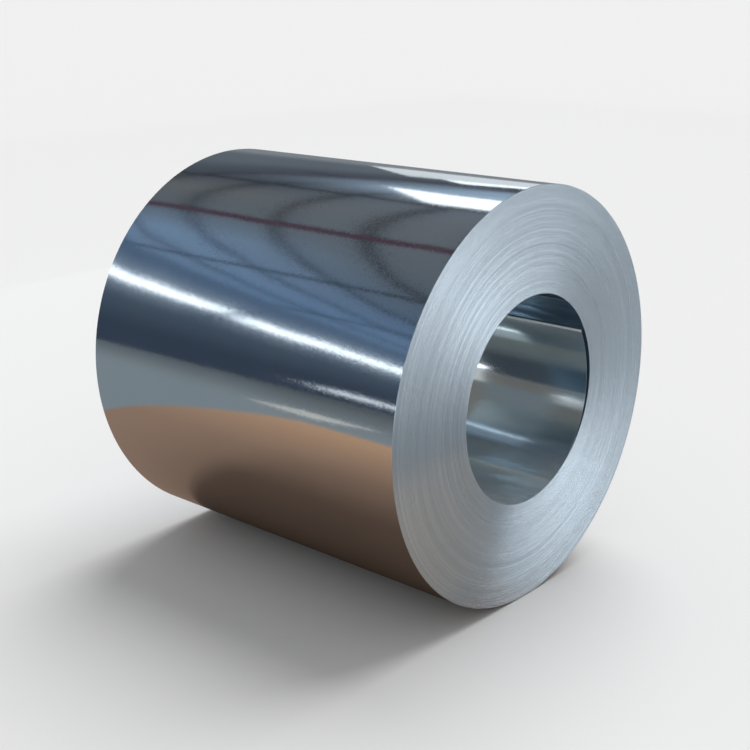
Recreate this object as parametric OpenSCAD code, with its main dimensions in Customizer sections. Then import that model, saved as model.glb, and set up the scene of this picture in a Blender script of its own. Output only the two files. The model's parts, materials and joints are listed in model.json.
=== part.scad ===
// Coil of bright steel strip, lying on its round side with the bore level.
// The bore runs along Y, the front end faces -Y, and the coil touches the floor at Z = 0.
// All sizes are in millimetres.

/* [Strip] */
// Width of the strip, the same in every turn
strip_width = 1000; // [600:10:1500]
// Thickness of the strip
strip_thickness = 1.6; // [0.5:0.1:3]

/* [Winding] */
// Outside diameter of the wound coil
coil_diameter = 1020; // [800:10:1800]
// Diameter of the bore, left by the winding mandrel
bore_diameter = 508; // [406:1:610]
// How far the mandrel dragged the innermost turn back along the bore as it was drawn out
inner_turn_drag = 10; // [2:0.5:20]

/* [Ends] */
// Number of bands of turns that can be told apart on an end
band_count = 32; // [8:1:60]
// Furthest that a band of turns lies behind the true end
band_setback = 0.6; // [0.1:0.1:2]
// Width of the seam between two bands
seam_width = 1; // [0.4:0.1:1.4]
// Depth of the seam below the lower of its two bands
seam_depth = 0.8; // [0.2:0.1:2]

/* [Hidden] */
$fn = 180;

steel_colour = [0.66, 0.69, 0.72];
coil_radius = coil_diameter / 2;
bore_radius = bore_diameter / 2;

// The innermost turn is the only one that was dragged, so the bands start outside it
first_band_radius = bore_radius + strip_thickness;
band_pitch = (coil_radius - first_band_radius) / band_count;
last_band = band_count - 1;

// The dragged turn makes the coil longer than its strip is wide, and the whole length is centred
front_y = -(strip_width + inner_turn_drag) / 2;
back_y = front_y + strip_width;

// Uneven winding: the innermost and outermost bands lie true, and about half of the others lie back
winding_seed = 7;
wander = rands(-band_setback, band_setback, band_count, winding_seed);
function band_shift(i) = i == 0 || i == last_band ? 0 : max(0, wander[i]);

// Where band i begins, measured from the axis of the bore
function band_edge(i) = first_band_radius + i * band_pitch;

// A band's flat face on the end at y, without the halves of the seams beside it
function band_face(i, y) = [
    [band_edge(i) + (i == 0 ? 0 : seam_width / 2), y + band_shift(i)],
    [band_edge(i + 1) - (i == last_band ? 0 : seam_width / 2), y + band_shift(i)]
];

// The bottom of the seam outside band i. Inwards is 1 on the front end and -1 on the back end
function seam_bottom(i, y, inwards) = [
    band_edge(i + 1),
    y + inwards * (seam_depth + max(inwards * band_shift(i), inwards * band_shift(i + 1)))
];

// All the faces and seams of one end, from the bore outwards
function end_outline(y, inwards) = [
    for (i = [0:last_band])
        each i == last_band
            ? band_face(i, y)
            : concat(band_face(i, y), [seam_bottom(i, y, inwards)])
];

function backwards(points) = [for (i = [len(points) - 1:-1:0]) points[i]];

// The edge of the dragged turn at the end y, from the bore outwards
function dragged_edge(y) = [
    [bore_radius, y + inner_turn_drag],
    [first_band_radius, y + inner_turn_drag]
];

// Half section of the coil: distance from the axis of the bore, then place along it
half_section = concat(
    dragged_edge(front_y),
    end_outline(front_y, 1),
    backwards(end_outline(back_y, -1)),
    backwards(dragged_edge(back_y))
);

module coil() {
    color(steel_colour)
        translate([0, 0, coil_radius])
            rotate([-90, 0, 0])
                rotate_extrude()
                    polygon(half_section);
}

coil();
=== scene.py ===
"""Steel coil: one long strip wound tight round an open bore, on its round side in a plain studio."""
import json
import math

import bpy
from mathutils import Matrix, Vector


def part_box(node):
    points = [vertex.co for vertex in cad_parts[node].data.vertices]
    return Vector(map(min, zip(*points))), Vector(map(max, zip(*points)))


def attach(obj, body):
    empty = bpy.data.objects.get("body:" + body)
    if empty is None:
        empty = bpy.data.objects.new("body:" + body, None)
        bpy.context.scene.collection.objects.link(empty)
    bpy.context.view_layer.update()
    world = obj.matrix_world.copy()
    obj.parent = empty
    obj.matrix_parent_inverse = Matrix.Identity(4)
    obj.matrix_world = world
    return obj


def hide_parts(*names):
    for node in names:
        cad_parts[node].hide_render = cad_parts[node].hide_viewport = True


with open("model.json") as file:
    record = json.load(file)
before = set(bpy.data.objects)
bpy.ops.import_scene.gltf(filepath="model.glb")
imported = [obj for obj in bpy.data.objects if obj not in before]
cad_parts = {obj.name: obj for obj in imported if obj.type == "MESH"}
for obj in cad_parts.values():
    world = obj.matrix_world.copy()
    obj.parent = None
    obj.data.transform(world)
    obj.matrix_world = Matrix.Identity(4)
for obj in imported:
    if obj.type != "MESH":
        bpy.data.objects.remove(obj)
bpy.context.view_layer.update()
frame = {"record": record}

# Sizes of the coil, in metres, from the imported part
low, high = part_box("coil")
bore = next(mount for mount in frame["record"]["mounts"] if mount["name"] == "bore")
coil_radius = (high.z - low.z) / 2
axis_height = (high.z + low.z) / 2
bore_radius = bore["dims"]["r_mm"] / 1000
strip_width = bore["dims"]["length_mm"] / 1000
# The innermost turn was dragged back by the mandrel, which makes the coil longer than its strip is wide
inner_drag = (high.y - low.y) - strip_width
strip_middle = low.y + strip_width / 2

# The winding. Clock angles are in degrees, as seen from the front end: 0 at the top, 90 at the right
inner_end_clock = 60
outer_end_clock = 180
whole_turns = 159
turns = whole_turns + (outer_end_clock - inner_end_clock) / 360
pitch = (coil_radius - bore_radius) / (turns + 1)
strip_thickness = 0.98 * pitch
winding_seed = 4

# Cut edges: how far their crest stands out and how far they lean, and how far back a turn may lie
edge_crown = 0.0004
edge_lean = 0.00008
turn_setback = 0.0006

# The strip's inner end springs off the turn behind it, over a part of a turn
tail_lift = 0.001
tail_reach = 0.2
# It was dragged back most at its inner end, and no longer past a part of the first turn
drag_reach = 0.28

# The first turn, in parts of a turn: the shears' burr ends here, and a painted shade on the bore's top
# comes in between these
burr_reach = 0.007
painted_shade_start = 0.74
painted_shade_full = 0.87

# The pale film low in the bore: heights in bore radii from the axis, and how deep in it is at its full
film_top = -0.64
film_full = -0.86
film_depth = 0.2

# Rolled surface: lines and grains to the metre, the lean of the few grains that sparkle, and soft waves
rolling_lines = 260
grain_scale = 650.0
grain_tilt = 0.02
wave_height = 0.0015

# Points along a turn and round the strip's section, and the angle past which a mesh edge is sharp
single_turn_detail = {"points": 384, "corners": 10, "sharp_angle": math.radians(40)}
wound_turns_detail = {"points": 100, "corners": 6, "sharp_angle": math.radians(60)}

# The photograph's camera: a square picture, with its place found from the coil's outline
picture_side = 750
focal_pixels = 1270.3
sensor_side = 36.0
camera_place = Vector((-2.3943, -2.1051, 1.4427))
camera_forward = Vector((0.72032, 0.62947, -0.29138))

# The studio: its floor, walls and ceiling, where the long lights hang, and how far in front of a wall
floor_reach = 150
room_side = 12.0
room_back = 6.4
room_front = -5.5
room_height = 5.0
light_height = 3.6
light_half_height = 1.1
light_gap = 0.05
# The screens that only the bore sees stand nearer
bore_screen = 3.2
# The surroundings' light, as the camera and the metal see it, and as it falls on everything else
seen_light = 0.88
fill_light = 0.45

# Panels of the ceiling: their size, where a joint lies each way, and its half width and depth of tone
panel_length = 2.7
panel_width = 0.86
joint_x = -0.3
joint_y = 4.1
joint_core = 0.03
joint_rim = 0.13
joint_depth = 0.66


# Node trees, written as Python expressions

class Value:
    """A node's output. Python's operators work on it, and each one adds a Math node to its tree."""

    def __init__(self, graph, socket):
        self.graph = graph
        self.socket = socket

    def __add__(self, other):
        return self.graph.maths("ADD", self, other)

    def __sub__(self, other):
        return self.graph.maths("SUBTRACT", self, other)

    def __rsub__(self, other):
        return self.graph.maths("SUBTRACT", other, self)

    def __mul__(self, other):
        return self.graph.maths("MULTIPLY", self, other)

    def __truediv__(self, other):
        return self.graph.maths("DIVIDE", self, other)

    def __gt__(self, other):
        return self.graph.maths("GREATER_THAN", self, other)

    def __lt__(self, other):
        return self.graph.maths("LESS_THAN", self, other)

    def __abs__(self):
        return self.graph.maths("ABSOLUTE", self)

    __radd__ = __add__

    def output(self, name):
        """Another output of the same node."""
        return Value(self.graph, self.socket.node.outputs[name])


class Graph:
    """Adds nodes to one tree."""

    def __init__(self, tree):
        self.tree = tree

    def add(self, kind, settings=None, sockets=None, output=0):
        """A node of this kind: its settings are made first, then its sockets are filled or linked."""
        node = self.tree.nodes.new(kind)
        for name, value in (settings or {}).items():
            if name == "stops":
                self.set_stops(node.color_ramp, value)
            else:
                setattr(node, name, value)
        for name, value in (sockets or {}).items():
            if isinstance(value, Value):
                self.tree.links.new(value.socket, node.inputs[name])
            else:
                node.inputs[name].default_value = value
        return Value(self, node.outputs[output]) if node.outputs else None

    def set_stops(self, ramp, stops):
        while len(ramp.elements) < len(stops):
            ramp.elements.new(1.0)
        for element, (place, colour) in zip(ramp.elements, stops):
            element.position = place
            element.color = (*colour, 1.0)

    def maths(self, operation, *values):
        return self.add("ShaderNodeMath", {"operation": operation}, dict(enumerate(values)))

    def vector_maths(self, operation, *vectors):
        return self.add("ShaderNodeVectorMath", {"operation": operation}, dict(enumerate(vectors)))

    def vector(self, x=0.0, y=0.0, z=0.0):
        return self.add("ShaderNodeCombineXYZ", sockets={"X": x, "Y": y, "Z": z})

    def split(self, vector):
        x = self.add("ShaderNodeSeparateXYZ", sockets={"Vector": vector})
        return x, x.output("Y"), x.output("Z")

    def mix_colours(self, share, first, second):
        """Blend of two colours. A Mix node has several sockets of one name, so they go by number."""
        sockets = {0: share, 6: first, 7: second}
        return self.add("ShaderNodeMix", {"data_type": "RGBA"}, sockets, output=2)

    def noise(self, vector, scale, detail=2.0):
        sockets = {"Vector": vector, "Scale": scale, "Detail": detail}
        return self.add("ShaderNodeTexNoise", sockets=sockets)

    def fade(self, value, start, end):
        """1 up to start, 0 past end, and a smooth slope between them."""
        span = {"Value": value, "From Min": start, "From Max": end, "To Min": 1.0, "To Max": 0.0}
        return self.add("ShaderNodeMapRange", {"interpolation_type": "SMOOTHSTEP"}, span)


# The wound strip

def tree_inputs(graph, inputs):
    """Named inputs of a geometry tree, from their names, socket types and defaults."""
    sockets = {}
    for name, (kind, default) in inputs.items():
        socket = graph.tree.interface.new_socket(name=name, in_out="INPUT", socket_type=kind)
        if default is not None:
            socket.default_value = default
        sockets[name] = socket.identifier
    first = graph.add("NodeGroupInput")
    return {name: first.output(name) for name in inputs}, sockets


def strip_section(graph, size):
    """Section of the strip: a ring of points pulled out flat, two of them as crests of the cut edges."""
    ring = graph.add(
        "GeometryNodeCurvePrimitiveCircle",
        {"mode": "RADIUS"},
        {"Resolution": size["Section Corners"], "Radius": 1.0})
    x, y, _ = graph.split(graph.add("GeometryNodeInputPosition"))
    # Points 60 degrees or more from a crest lie on the flat sides
    flat_height = math.sin(math.radians(60))
    side = graph.maths("MAXIMUM", graph.maths("MINIMUM", y / flat_height, 1.0), -1.0)
    below_crest = graph.maths("MINIMUM", (1 - abs(x)) * 2, 1.0)
    half_width = size["Strip Width"] * 0.5 - below_crest * size["Edge Crown"]
    across = graph.maths("SIGN", x) * half_width
    sided = graph.add(
        "GeometryNodeStoreNamedAttribute",
        {"data_type": "FLOAT", "domain": "POINT"},
        {"Geometry": ring, "Name": "side", "Value": side})
    # Curve to Mesh lays the section's X inwards, so the outer side is at -X
    place = graph.vector(side * size["Strip Thickness"] * -0.5, across)
    return graph.add("GeometryNodeSetPosition", sockets={"Geometry": sided, "Position": place})


def wound_strip_tree():
    """A length of the strip, from one turn of the winding to another, swept along its spiral."""
    tree = bpy.data.node_groups.new("wound_strip", "GeometryNodeTree")
    graph = Graph(tree)
    size, sockets = tree_inputs(graph, {
        "First Turn": ("NodeSocketFloat", 0.0),
        "Last Turn": ("NodeSocketFloat", 1.0),
        "Points Per Turn": ("NodeSocketInt", single_turn_detail["points"]),
        "Section Corners": ("NodeSocketInt", single_turn_detail["corners"]),
        "Bore Radius": ("NodeSocketFloat", bore_radius),
        "Pitch": ("NodeSocketFloat", pitch),
        "Strip Width": ("NodeSocketFloat", strip_width),
        "Strip Thickness": ("NodeSocketFloat", strip_thickness),
        "Edge Crown": ("NodeSocketFloat", edge_crown),
        "Edge Lean": ("NodeSocketFloat", edge_lean),
        "Turn Setback": ("NodeSocketFloat", turn_setback),
        "Inner Drag": ("NodeSocketFloat", inner_drag),
        "Drag Reach": ("NodeSocketFloat", drag_reach),
        "Tail Lift": ("NodeSocketFloat", tail_lift),
        "Tail Reach": ("NodeSocketFloat", tail_reach),
        "Seed": ("NodeSocketFloat", winding_seed),
        "Outer Side": ("NodeSocketMaterial", None),
        "Inner Side": ("NodeSocketMaterial", None),
        "Cut Edge": ("NodeSocketMaterial", None),
    })
    tree.interface.new_socket(name="Geometry", in_out="OUTPUT", socket_type="NodeSocketGeometry")
    first, last = size["First Turn"], size["Last Turn"]

    spiral = graph.add("GeometryNodeCurveSpiral", sockets={
        "Resolution": size["Points Per Turn"],
        "Rotations": last - first,
        "Start Radius": size["Bore Radius"] + size["Pitch"] * (first + 0.5),
        "End Radius": size["Bore Radius"] + size["Pitch"] * (last + 0.5),
        "Height": 0.0,
        "Reverse": False})
    turn = first + graph.add("GeometryNodeInputIndex") / size["Points Per Turn"]
    counted = graph.add(
        "GeometryNodeStoreNamedAttribute",
        {"data_type": "FLOAT", "domain": "POINT"},
        {"Geometry": spiral, "Name": "turn", "Value": turn})
    tail = graph.maths("MAXIMUM", 1 - turn / size["Tail Reach"], 0.0)
    outwards = graph.vector_maths("NORMALIZE", graph.add("GeometryNodeInputPosition"))
    lift = graph.add(
        "ShaderNodeVectorMath",
        {"operation": "SCALE"},
        {0: outwards, "Scale": tail * tail * size["Tail Lift"] * -1})
    sprung = graph.add("GeometryNodeSetPosition", sockets={"Geometry": counted, "Offset": lift})
    swept = graph.add("GeometryNodeCurveToMesh", sockets={
        "Curve": sprung,
        "Profile Curve": strip_section(graph, size),
        "Fill Caps": True})

    # Uneven winding: turns lie a little back from the front end, and their cut edges lean a little
    turn = graph.add("GeometryNodeInputNamedAttribute", {"data_type": "FLOAT"}, {"Name": "turn"})
    side = graph.add("GeometryNodeInputNamedAttribute", {"data_type": "FLOAT"}, {"Name": "side"})
    setback = graph.noise(graph.vector(turn, size["Seed"]), 0.4) * size["Turn Setback"]
    lean = (graph.noise(graph.vector(turn, size["Seed"] + 50), 0.8) - 0.5) * 2 * size["Edge Lean"]
    drag = graph.fade(turn, 0.0, size["Drag Reach"]) * size["Inner Drag"]
    slip = graph.vector(z=side * lean - graph.maths("MAXIMUM", setback, drag))
    slipped = graph.add("GeometryNodeSetPosition", sockets={"Geometry": swept, "Offset": slip})

    # The spiral lies in the XY plane with its front end up, so it is turned to face -Y
    start_angle = graph.vector(z=math.radians(90 - inner_end_clock) - first * math.tau)
    aimed = graph.add("GeometryNodeTransform", sockets={"Geometry": slipped, "Rotation": start_angle})
    placed = graph.add("GeometryNodeTransform", sockets={
        "Geometry": aimed,
        "Rotation": (math.radians(90), 0, 0),
        "Translation": (0, strip_middle, axis_height)})

    # A cut edge faces along the bore, or lies between the strip's two sides
    solid = graph.add("GeometryNodeRealizeInstances", sockets={"Geometry": placed})
    _, along_bore, _ = graph.split(graph.add("GeometryNodeInputNormal"))
    cut = graph.maths("MAXIMUM", abs(along_bore) > 0.5, abs(side) < 0.4)
    finished = solid
    for material, faces in (("Outer Side", True), ("Inner Side", side < -0.75), ("Cut Edge", cut)):
        finished = graph.add("GeometryNodeSetMaterial", sockets={
            "Geometry": finished,
            "Selection": faces,
            "Material": size[material]})
    graph.add("NodeGroupOutput", sockets={"Geometry": finished})
    return tree, sockets


def strip_length(name, first, last, detail, outer_side, inner_side):
    """A plain mesh piece: the strip from one turn to another."""
    maker = bpy.data.objects.new(name + "_maker", bpy.data.meshes.new(name + "_maker"))
    bpy.context.scene.collection.objects.link(maker)
    modifier = maker.modifiers.new("winding", "NODES")
    modifier.node_group = strip_tree
    inputs = {
        "First Turn": float(first),
        "Last Turn": float(last),
        "Points Per Turn": detail["points"],
        "Section Corners": detail["corners"],
        "Outer Side": outer_side,
        "Inner Side": inner_side,
        "Cut Edge": cut_edge,
    }
    for label, value in inputs.items():
        modifier[strip_sockets[label]] = value
    evaluated = maker.evaluated_get(bpy.context.evaluated_depsgraph_get())
    mesh = bpy.data.meshes.new_from_object(evaluated)
    mesh.name = name
    bpy.data.objects.remove(maker)
    piece = bpy.data.objects.new(name, mesh)
    bpy.context.scene.collection.objects.link(piece)
    mesh.shade_smooth()
    mesh.set_sharp_from_angle(angle=detail["sharp_angle"])
    return piece


# Maps that a bake of the finishes goes through

def lay_bake_map(piece, spot):
    """Put each corner of each face at its spot on a new map."""
    mesh = piece.data
    turn = mesh.attributes["turn"].data
    side = mesh.attributes["side"].data
    spots = mesh.uv_layers.new(name="OFBake").uv
    for face in mesh.polygons:
        finish = mesh.materials[face.material_index]
        strip_end = len(face.vertices) > 4
        for corner, vertex in zip(face.loop_indices, face.vertices):
            place = mesh.vertices[vertex].co
            winding = turn[vertex].value, side[vertex].value
            spots[corner].vector = spot(place, *winding, finish, strip_end)


def across_strip(place):
    """0 at the coil's front, 1 at its back."""
    return (place.y - low.y) / (high.y - low.y)


def disc_spot(place, turn, side, finish, strip_end):
    """Both ends share one disc, as their pattern goes through the coil. Hidden sides lie in a corner."""
    if finish == gap:
        return 0.01 + 0.06 * (turn % 1), 0.01 + 0.06 * across_strip(place)
    scale = 0.49 / coil_radius
    return 0.5 + place.x * scale, 0.5 + (place.z - axis_height) * scale


def unrolled_spot(place, turn, side, finish, strip_end):
    """A single turn lies unrolled: its shown side takes most of the map, with the rest in bands below."""
    first = 0 if turn <= 1 else turns - 1
    around = 0.005 + 0.99 * (turn - first)
    across = across_strip(place)
    if strip_end:
        return across, 0.11 + 0.01 * side
    if finish == cut_edge:
        return around, 0.06 + 0.02 * side
    if finish == gap:
        return around, 0.01 + 0.02 * across
    return around, 0.14 + 0.85 * across


# Finishes

def new_finish(name):
    """A material with its graph, and its shader's sockets left to fill."""
    material = bpy.data.materials.new(name)
    material.use_nodes = True
    material.node_tree.nodes.clear()
    return material, Graph(material.node_tree)


def finish_with(graph, sockets):
    shader = graph.add("ShaderNodeBsdfPrincipled", sockets=sockets)
    graph.add("ShaderNodeOutputMaterial", sockets={"Surface": shader})


def object_place(graph):
    return graph.add("ShaderNodeTexCoord", output="Object")


def rolled_surface(graph, place):
    """A faint handling haze, and how it and the fine rolling lines change the roughness."""
    x, y, z = graph.split(place)
    rolling = graph.noise(graph.vector(x * 3, y * rolling_lines, z * 3), 1.0, 3.0)
    haze = graph.noise(place, 5.0, 3.0)
    return haze, (rolling - 0.5) * 0.05 + (haze - 0.5) * 0.04


def bright_steel():
    """Outer side of the strip: a mirror finish with a fine grain, rolling lines and a faint haze."""
    material, graph = new_finish("bright_strip")
    place = object_place(graph)
    x, y, z = graph.split(place)
    haze, unevenness = rolled_surface(graph, place)
    colour = graph.mix_colours(haze, (0.70, 0.755, 0.785, 1), (0.76, 0.80, 0.825, 1))

    # Each grain leans its own way: most of them hardly at all, and a few enough to sparkle by a light
    cells = {"Vector": place, "Scale": grain_scale}
    grain = graph.add("ShaderNodeTexVoronoi", sockets=cells, output="Color")
    leaning = graph.vector_maths("MULTIPLY_ADD", grain, (2, 2, 2), (-1, -1, -1))
    square = graph.vector_maths("MULTIPLY", leaning, leaning)
    few = graph.vector_maths("MULTIPLY", graph.vector_maths("MULTIPLY", square, square), leaning)
    tilt = graph.vector_maths("MULTIPLY", few, (grain_tilt, grain_tilt, grain_tilt))
    waves = graph.noise(graph.vector(x * 2.2, y * 3, z * 2.2), 1.0, 1.0)
    swell = {"Strength": 1.0, "Distance": wave_height, "Height": waves}
    waved = graph.add("ShaderNodeBump", sockets=swell)
    finish_with(graph, {
        "Base Color": colour,
        "Metallic": 1.0,
        "Roughness": 0.075 + unevenness,
        "Normal": graph.vector_maths("NORMALIZE", graph.vector_maths("ADD", waved, tilt))})
    return material


def turn_count(graph):
    """How many turns of the strip lie between its inner end and here."""
    return graph.add("ShaderNodeAttribute", {"attribute_name": "turn"}, output="Fac")


def burr(graph):
    """1 at the strip's inner end, which the shears left pale and matt, and 0 a little way along it."""
    return graph.fade(turn_count(graph), burr_reach * 0.3, burr_reach)


def bore_steel():
    """Inner side of the innermost turn: rubbed by the mandrel and painted paler than the outer side to
    brighten the bore; painted shade behind the tail; filmed low down.
    """
    material, graph = new_finish("bore_wall")
    place = object_place(graph)
    _, y, z = graph.split(place)
    haze, unevenness = rolled_surface(graph, place)
    # Rubbed by the mandrel, and painted paler than the outer side as painted light that brightens the
    # bore
    rubbed_painted_pale = graph.mix_colours(haze, (0.84, 0.865, 0.875, 1), (0.88, 0.90, 0.91, 1))
    # Painted shade: a dark blue-grey tone on the bore's top behind the strip's inner end, where it lies
    # in shade
    painted_shade_share = (1 - graph.fade(turn_count(graph), painted_shade_start, painted_shade_full)) * 0.95
    sheared = burr(graph)
    inside = 1 - graph.fade(y, low.y, low.y + film_depth)
    film = graph.fade((z - axis_height) / bore_radius, film_full, film_top) * (inside * 0.5 + 0.5)
    filmed = graph.mix_colours(film, rubbed_painted_pale, (0.74, 0.86, 0.89, 1))
    finish_with(graph, {
        "Base Color": graph.mix_colours(painted_shade_share, filmed, (0.22, 0.31, 0.42, 1)),
        "Metallic": 1 - sheared * 0.8 - film * (haze + 0.5) * 0.5,
        "Roughness": 0.085 + unevenness + sheared * 0.4})
    return material


def cut_edges():
    """Slit edges of the turns: bare steel whose tone changes from turn to turn and fades along each."""
    material, graph = new_finish("cut_edges")
    x, _, z = graph.split(object_place(graph))
    rise = z - axis_height
    radius = graph.maths("SQRT", x * x + rise * rise)
    across, up = x / radius, rise / radius
    streaks = graph.noise(graph.vector(across * 0.45, radius * 320, up * 0.45), 0.7, 2.0)
    bands = graph.noise(graph.vector(across * 0.6, radius * 60, up * 0.6), 1.0, 2.0)
    spread = {"Value": streaks * 0.6 + bands * 0.4, "From Min": 0.35, "From Max": 0.65}
    contrast = graph.add("ShaderNodeMapRange", sockets=spread)
    relief = {"Strength": 0.18, "Distance": edge_crown, "Height": streaks}
    sheared = burr(graph)
    finish_with(graph, {
        "Base Color": graph.mix_colours(contrast, (0.595, 0.62, 0.655, 1), (0.72, 0.74, 0.77, 1)),
        "Metallic": 1 - sheared * 0.8,
        "Roughness": 0.25 - (streaks - 0.5) * 0.12 + sheared * 0.3,
        "Normal": graph.add("ShaderNodeBump", sockets=relief)})
    return material


def gap_shade():
    """Painted shade: a dark steel tone for the sides deep between two turns, seen only where the
    innermost turn lies back.
    """
    material, graph = new_finish("gap_shade")
    film = graph.noise(object_place(graph), 14.0, 3.0)
    finish_with(graph, {
        # This dark colour is painted shade
        "Base Color": (0.10, 0.13, 0.17, 1),
        "Metallic": 1.0,
        "Roughness": 0.32 + film * 0.16})
    return material


# The pieces

bright_strip = bright_steel()
bore_wall = bore_steel()
cut_edge = cut_edges()
gap = gap_shade()
strip_tree, strip_sockets = wound_strip_tree()
pieces = [
    strip_length("inner_turn", 0, 1, single_turn_detail, gap, bore_wall),
    strip_length("wound_turns", 1, turns - 1, wound_turns_detail, gap, gap),
    strip_length("outer_turn", turns - 1, turns, single_turn_detail, bright_strip, gap),
]
for piece, spot in zip(pieces, (unrolled_spot, disc_spot, unrolled_spot)):
    lay_bake_map(piece, spot)
    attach(piece, "root")
    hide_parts("coil")


# Cards of the studio

def card(name, middle, across, up, material):
    """A flat card, from its middle and the two half sides that span it. Its map runs from 0 to 1."""
    middle, across, up = Vector(middle), Vector(across), Vector(up)
    signs = [(-1, -1), (1, -1), (1, 1), (-1, 1)]
    mesh = bpy.data.meshes.new(name)
    mesh.from_pydata([middle + a * across + b * up for a, b in signs], [], [range(4)])
    spots = mesh.uv_layers.new(name="card_map").uv
    for spot, (a, b) in zip(spots, signs):
        spot.vector = ((a + 1) / 2, (b + 1) / 2)
    mesh.materials.append(material)
    flat = bpy.data.objects.new(name, mesh)
    bpy.context.scene.collection.objects.link(flat)
    return flat


def mirrored_card(name, middle, across, up, material):
    """A card that only the metal sees."""
    flat = card(name, middle, across, up, material)
    flat.visible_camera = False
    flat.visible_diffuse = False
    flat.visible_shadow = False
    flat.visible_transmission = False
    flat.visible_volume_scatter = False


def upright_card(name, middle, half_width, half_height, material):
    mirrored_card(name, middle, (half_width, 0, 0), (0, 0, half_height), material)


def level_card(name, middle, half_width, half_length, material):
    mirrored_card(name, middle, (half_width, 0, 0), (0, half_length, 0), material)


# Papers and lights of the cards

def matt(graph, colour):
    finish_with(graph, {"Base Color": colour, "Roughness": 0.9, "Specular IOR Level": 0.1})


def shine(graph, colour, strength=1.0):
    glow = graph.add("ShaderNodeEmission", sockets={"Color": colour, "Strength": strength})
    graph.add("ShaderNodeOutputMaterial", sockets={"Surface": glow})


def tone_along(graph, place, tones):
    """Tones that follow one another along a line, from a list of places and colours."""
    first, last = tones[0][0], tones[-1][0]
    stops = [((at - first) / (last - first), tone) for at, tone in tones]
    share = (place - first) / (last - first)
    return graph.add("ShaderNodeValToRGB", {"stops": stops}, {"Fac": share})


def paper(name, colour):
    material, graph = new_finish(name)
    matt(graph, (*colour, 1))
    return material


def paper_along(name, tones):
    """Paper whose colour changes along X."""
    material, graph = new_finish(name)
    x, _, _ = graph.split(object_place(graph))
    matt(graph, tone_along(graph, x, tones))
    return material


def glowing(name, colour, strength=1.0):
    material, graph = new_finish(name)
    shine(graph, (*colour, 1), strength)
    return material


def glow_up(name, tones, strength):
    """A light whose tone changes with its height above the floor."""
    material, graph = new_finish(name)
    _, _, z = graph.split(object_place(graph))
    shine(graph, tone_along(graph, z, tones), strength)
    return material


def soft_light(name, colour, strength, core, halo, ends):
    """A light that is brightest along its middle line, with a halo that fades to nothing at its rim."""
    material, graph = new_finish(name)
    u, v, _ = graph.split(graph.add("ShaderNodeTexCoord", output="UV"))
    along = abs(u * 2 - 1)
    across = abs(v * 2 - 1)
    light = graph.fade(across, core * 0.1, core) * (1 - halo) + graph.fade(across, 0.0, 1.0) * halo
    glow = graph.add("ShaderNodeEmission", sockets={
        "Color": (*colour, 1),
        "Strength": light * graph.fade(along, ends, 1.0) * strength})
    clear = graph.add("ShaderNodeBsdfTransparent")
    both = graph.add("ShaderNodeAddShader", sockets={0: glow, 1: clear})
    graph.add("ShaderNodeOutputMaterial", sockets={"Surface": both})
    return material


def bore_tone(name, colour, strength=1.0):
    """A tone that shows only after two reflections or more, as light along the bore has."""
    material, graph = new_finish(name)
    depth = graph.add("ShaderNodeLightPath", output="Glossy Depth")
    glow = graph.add("ShaderNodeEmission", sockets={"Color": (*colour, 1), "Strength": strength})
    clear = graph.add("ShaderNodeBsdfTransparent")
    either = graph.add("ShaderNodeMixShader", sockets={0: depth > 1.5, 1: clear, 2: glow})
    graph.add("ShaderNodeOutputMaterial", sockets={"Surface": either})
    material.cycles.emission_sampling = "NONE"
    return material


def toned_wall(name, left_tones, right_tones, left_end, right_start):
    """A wall whose tone changes with its height, and from its left part to its right part."""
    material, graph = new_finish(name)
    x, _, z = graph.split(object_place(graph))
    left = graph.fade(x, left_end, right_start)
    left_tone = tone_along(graph, z, left_tones)
    right_tone = tone_along(graph, z, right_tones)
    shine(graph, graph.mix_colours(left, right_tone, left_tone))
    return material


def panelled_ceiling(name, near_tones, far_tones, near_end, far_start):
    """Plain panels with dark joints, whose tone changes along X and from the near part to the far."""
    material, graph = new_finish(name)
    x, y, _ = graph.split(object_place(graph))
    near = graph.fade(y, near_end, far_start)
    near_tone = tone_along(graph, x, near_tones)
    far_tone = tone_along(graph, x, far_tones)
    from_cross_joint = graph.maths("PINGPONG", x - joint_x, panel_length / 2)
    from_long_joint = graph.maths("PINGPONG", y - joint_y, panel_width / 2)
    from_joint = graph.maths("MINIMUM", from_cross_joint, from_long_joint)
    joint = graph.fade(from_joint, joint_core, joint_rim)
    shine(graph, graph.mix_colours(near, far_tone, near_tone), 1 - joint * joint_depth)
    return material


# The studio

def lamp(name, place, target, strength):
    """A broad soft light, the same all over the floor, which shines from its place towards a target."""
    data = bpy.data.lights.new(name, "SUN")
    data.energy = strength
    data.angle = math.radians(50)
    light = bpy.data.objects.new(name, data)
    light.location = place
    light.rotation_euler = (Vector(target) - Vector(place)).to_track_quat("-Z", "Y").to_euler()
    light.visible_glossy = False
    bpy.context.scene.collection.objects.link(light)


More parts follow.
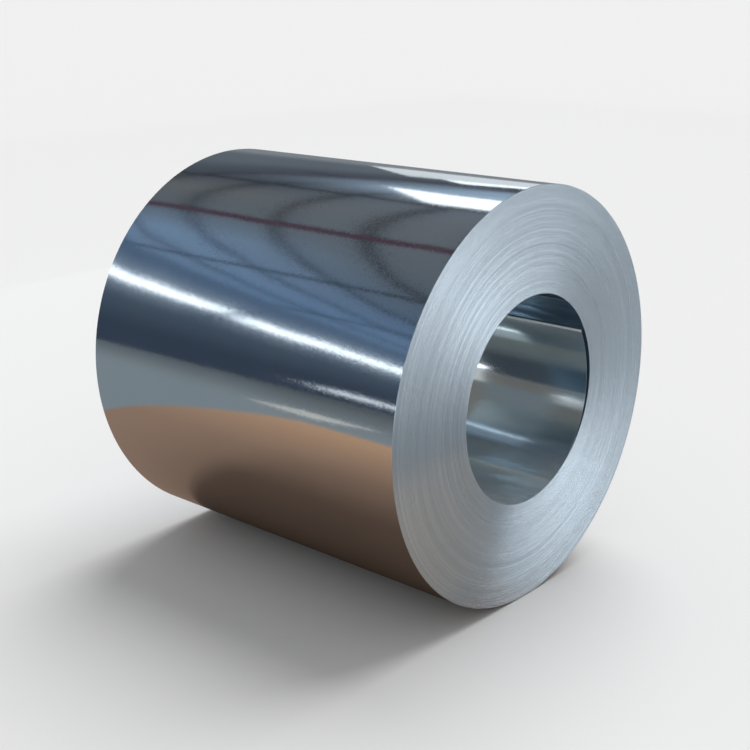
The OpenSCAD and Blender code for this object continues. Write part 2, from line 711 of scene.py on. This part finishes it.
def room_cards():
    """Four walls and a ceiling, in the quiet tones that bright steel shows between its highlights."""
    navy = (0.04, 0.055, 0.085)
    slate = (0.065, 0.09, 0.125)
    blue = (0.09, 0.14, 0.22)
    mid_blue = (0.14, 0.22, 0.35)
    deep_blue = (0.19, 0.275, 0.40)
    dusk = (0.08, 0.09, 0.11)
    haze = (0.125, 0.145, 0.17)
    stone = (0.14, 0.15, 0.155)
    ash = (0.15, 0.165, 0.185)
    pale_blue = (0.16, 0.20, 0.26)
    mist = (0.22, 0.245, 0.265)
    plum = (0.074, 0.043, 0.06)
    back_tones = toned_wall(
        "back_tones",
        [(0.0, navy), (1.2, navy), (2.4, slate), (4.2, blue), (5.0, blue)],
        [(0.0, mist), (2.2, mist), (3.0, haze), (4.2, haze), (5.0, dusk)],
        left_end=-2.4,
        right_start=0.4)
    ceiling_tones = panelled_ceiling(
        "ceiling_tones",
        [(-5.0, slate), (-1.5, haze), (1.0, ash), (5.0, pale_blue)],
        [(-5.0, mid_blue), (-1.6, deep_blue), (-0.2, haze), (1.2, stone), (2.4, dusk), (5.0, dusk)],
        near_end=2.8,
        far_start=5.4)
    mist_tone = glowing("mist_tone", mist)
    haze_tone = glowing("haze_tone", haze)
    half_length = (room_back - room_front) / 2
    half_height = room_height / 2
    middle_y = (room_back + room_front) / 2
    along = (0, half_length, 0)
    up = (0, 0, half_height)
    upright_card("back_card", (0, room_back, half_height), room_side, half_height, back_tones)
    upright_card("front_card", (0, room_front, half_height), room_side, half_height, mist_tone)
    mirrored_card("left_card", (-room_side, middle_y, half_height), along, up, haze_tone)
    mirrored_card("right_card", (room_side, middle_y, half_height), along, up, mist_tone)
    level_card("ceiling_card", (0, middle_y, room_height), room_side, half_length, ceiling_tones)
    level_card("ceiling_band", (-0.3, 4.4, room_height - 0.01), 0.13, 2.0, glowing("plum", plum))


def light_cards():
    """The lights that make the highlights on the round side, in the bore and on the ends."""
    cool_white = (0.90, 0.96, 1.0)
    ice = (0.80, 0.92, 1.0)
    long_light = soft_light("long_light", cool_white, 1.8, core=0.34, halo=0.1, ends=0.92)
    small_light = soft_light("small_light", cool_white, 1.0, core=0.8, halo=0.2, ends=0.7)
    blue_glow = soft_light("blue_glow", (0.56, 0.77, 1.0), 0.42, core=1.0, halo=0.5, ends=0.2)
    lens_light = glowing("lens_light", cool_white, 1.7)
    pale = glowing("pale_light", cool_white, 0.8)
    bright = glowing("bright_light", cool_white, 1.6)
    low_white = glow_up("low_light", [(0.0, ice), (1.2, (0.38, 0.44, 0.48))], 3.2)
    near_white = glowing("near_light", ice, 0.7)
    back = room_back - light_gap
    front = room_front + light_gap
    side = room_side - light_gap
    ceiling = room_height - light_gap
    for end, y in (("back", back), ("front", front)):
        upright_card(end + "_left_light", (-4.2, y, light_height), 1.6, light_half_height, long_light)
        upright_card(end + "_far_light", (-8.0, y, light_height), 2.1, light_half_height, long_light)
    along, up = (0, 2.5, 0), (0, 0, light_half_height)
    for hand, x in (("left", -side), ("right", side)):
        mirrored_card(hand + "_side_light", (x, 0, light_height), along, up, long_light)
    low_panels = (("right", 3.3, -3.4, 2.1), ("left", -1.9, -3.4, 1.2), ("back", 0, 3.4, 2.0))
    for name, x, y, half_width in low_panels:
        upright_card(name + "_low_panel", (x, y, 0.6), half_width, 0.6, low_white)
    upright_card("low_left_light", (-8.9, back, 0.65), 0.95, 0.32, small_light)
    mirrored_card("ceiling_light", (3.3, 2.95, ceiling), (0.70, 0.54, 0), (0, 1.1, 0), lens_light)
    level_card("ceiling_glow", (4.8, 4.0, ceiling + 0.02), 2.4, 2.0, blue_glow)
    upright_card("right_panel", (9.2, back, 3.4), 2.0, 1.0, pale)
    upright_card("right_light", (9.0, back - light_gap, 4.7), 1.2, 0.3, bright)
    level_card("near_sheet", (1.2, -2.25, 0.003), 0.31, 1.15, near_white)


def floor_sheets():
    """Paper on the floor: grey that darkens to the left, brown under the coil, and two paler sheets."""
    grey_paper = paper_along("grey_paper", [
        (-6.0, (0.095, 0.11, 0.12)),
        (-3.4, (0.145, 0.168, 0.182)),
        (-2.0, (0.215, 0.25, 0.273))])
    kraft_paper = paper_along("kraft_paper", [
        (-1.8, (0.48, 0.29, 0.175)),
        (-0.9, (0.30, 0.19, 0.135)),
        (-0.3, (0.28, 0.185, 0.135)),
        (0.3, (0.24, 0.19, 0.155))])
    warm_paper = paper("warm_paper", (0.42, 0.38, 0.33))
    pale_paper = paper("pale_paper", (0.56, 0.55, 0.52))
    level_card("grey_sheet", (0, 0, 0.001), 12, 9, grey_paper)
    level_card("kraft_sheet", (-0.55, 0.25, 0.002), 1.35, 0.8, kraft_paper)
    level_card("warm_sheet", (-0.4, -1.0, 0.002), 0.5, 0.42, warm_paper)
    level_card("pale_sheet", (-2.42, 1.47, 0.002), 0.22, 0.2, pale_paper)


def bore_cards():
    """Quiet tones behind both ends for the bore, and the light of its streaks with a halo below it."""
    upper_tone = bore_tone("bore_upper_tone", (0.18, 0.215, 0.235))
    lower_tone = bore_tone("bore_lower_tone", (0.18, 0.175, 0.165))
    halo = bore_tone("bore_halo", (0.62, 0.65, 0.66))
    streak = bore_tone("bore_streak", (0.95, 0.98, 1.0), 4.4)
    for end, side in (("back", 1), ("front", -1)):
        upright_card(end + "_bore_screen", (0, side * bore_screen, 2.5), 8, 2.5, upper_tone)
        level_card(end + "_bore_floor", (0, side * 1.9, 0.006), 8, 1.3, lower_tone)
    upright_card("bore_halo_light", (4.1, bore_screen - 0.01, 1.3), 0.8, 1.1, halo)
    upright_card("bore_streak_light", (3.5, bore_screen - 0.02, 2.5), 0.6, 0.16, streak)


def studio():
    """Floor, lamp, and the cards that the metal mirrors, which hang out of sight all round the coil."""
    pale_floor = paper("pale_floor", (0.82, 0.82, 0.82))
    card("floor", (0, 0, 0), (floor_reach, 0, 0), (0, floor_reach, 0), pale_floor)
    lamp("high_light", (2.6, 0.3, 4.4), (0, 0, 0.3), 2.3)
    room_cards()
    light_cards()
    floor_sheets()
    bore_cards()


def world_light():
    """Pale surroundings, which the camera and the metal see, and a soft fill on everything else."""
    world = bpy.data.worlds.new("surroundings")
    bpy.context.scene.world = world
    world.use_nodes = True
    world.node_tree.nodes.clear()
    graph = Graph(world.node_tree)
    path = graph.add("ShaderNodeLightPath", output="Is Camera Ray")
    seen = path + path.output("Is Glossy Ray") + path.output("Is Transmission Ray")
    strength = fill_light + graph.maths("MINIMUM", seen, 1.0) * (seen_light - fill_light)
    sky = graph.add("ShaderNodeBackground", sockets={"Color": (1, 1, 1, 1), "Strength": strength})
    graph.add("ShaderNodeOutputWorld", sockets={"Surface": sky})


def photograph_camera():
    data = bpy.data.cameras.new("camera")
    data.sensor_width = sensor_side
    data.lens = focal_pixels / picture_side * sensor_side
    camera = bpy.data.objects.new("camera", data)
    camera.location = camera_place
    camera.rotation_euler = camera_forward.to_track_quat("-Z", "Y").to_euler()
    bpy.context.scene.collection.objects.link(camera)
    bpy.context.scene.camera = camera


studio()
world_light()
photograph_camera()
bpy.context.scene.view_settings.view_transform = "Standard"
# Light bounces many times along the bore
bpy.context.scene.cycles.glossy_bounces = 12
